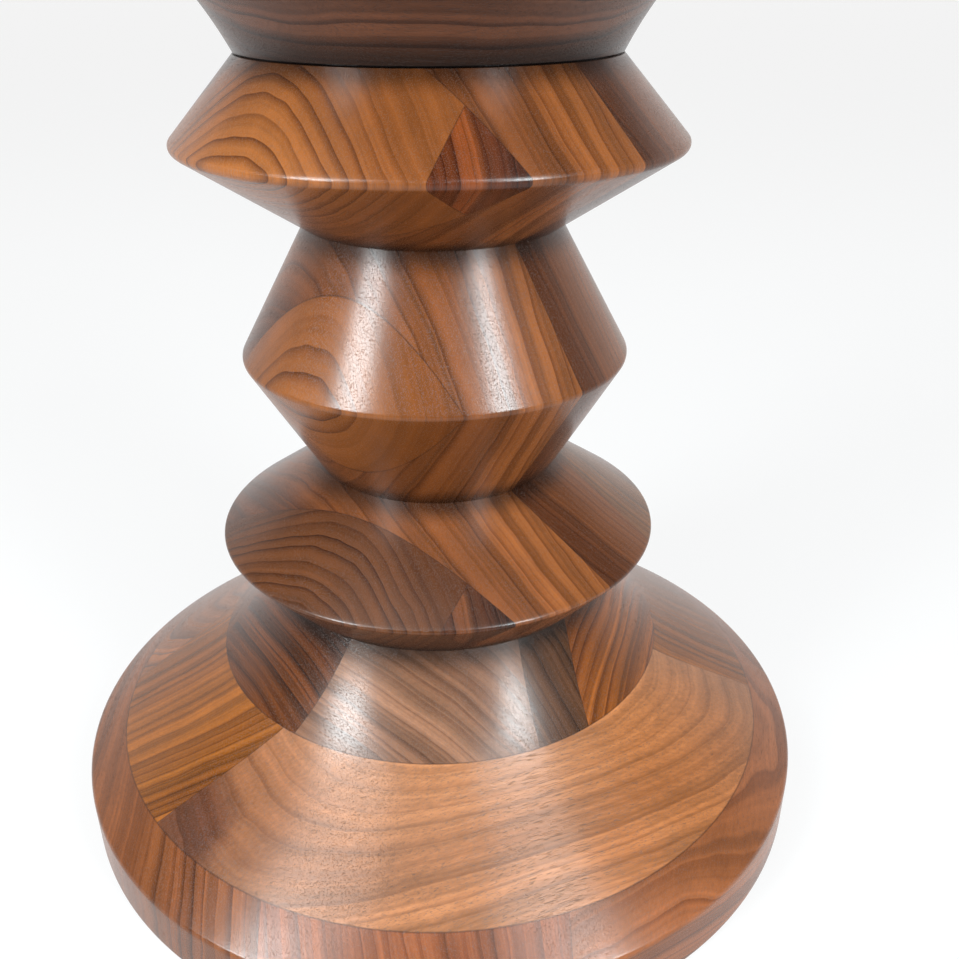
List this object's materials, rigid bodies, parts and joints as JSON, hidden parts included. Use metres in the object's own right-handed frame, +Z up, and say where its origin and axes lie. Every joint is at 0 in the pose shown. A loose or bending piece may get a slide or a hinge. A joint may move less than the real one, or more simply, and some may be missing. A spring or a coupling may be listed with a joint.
{
  "type": "turned wooden stool",
  "caption": "Low round stool turned from glued-up walnut: a flared foot, a column of stacked rings with sharp grooves, and a dished seat that mirrors the foot.",
  "frame": {"origin": "centre of the foot's underside, on the floor", "axes": "+Z up along the turning axis; -Y is the side seen from the front, where the corner blocks show; +X to that view's right"},
  "size_m": [0.332, 0.332, 0.4253],
  "materials": {
    "walnut_golden": "satin clear lacquer over golden-brown walnut",
    "walnut_brown": "satin clear lacquer over mid-brown walnut",
    "walnut_reddish": "satin clear lacquer over reddish walnut",
    "walnut_mauve": "satin clear lacquer over mauve-brown walnut",
    "walnut_dark": "satin clear lacquer over dark walnut",
    "dowel_beech": "bare turned beech"
  },
  "bodies": {
    "root": {"foot_bottom_left_board": "walnut_reddish", "foot_bottom_centre_board": "walnut_mauve", "foot_bottom_right_board": "walnut_reddish", "foot_middle_front_board": "walnut_golden", "foot_middle_centre_board": "walnut_brown", "foot_middle_rear_board": "walnut_brown", "neck_front_board": "walnut_mauve", "neck_front_right_board": "walnut_dark", "neck_side_board": "walnut_reddish", "neck_rear_board": "walnut_brown", "neck_right_board": "walnut_reddish", "column_front_plank": "walnut_brown", "column_core_plank": "walnut_dark", "column_rear_plank": "walnut_brown", "lower_ring_front_block": "walnut_golden", "lower_ring_corner_block": "walnut_dark", "lower_ring_rear_block": "walnut_brown", "middle_ring_front_block": "walnut_golden", "middle_ring_rear_block": "walnut_brown", "upper_ring_front_block": "walnut_golden", "upper_ring_corner_block": "walnut_dark", "upper_ring_rear_block": "walnut_brown", "seat_neck_front_board": "walnut_mauve", "seat_neck_rear_board": "walnut_brown", "seat_middle_left_board": "walnut_reddish", "seat_middle_centre_board": "walnut_brown", "seat_middle_right_board": "walnut_reddish", "seat_top_front_board": "walnut_brown", "seat_top_centre_board": "walnut_golden", "seat_top_rear_board": "walnut_brown", "foot_dowel": "dowel_beech", "seat_dowel": "dowel_beech"}
  },
  "joints": []
}
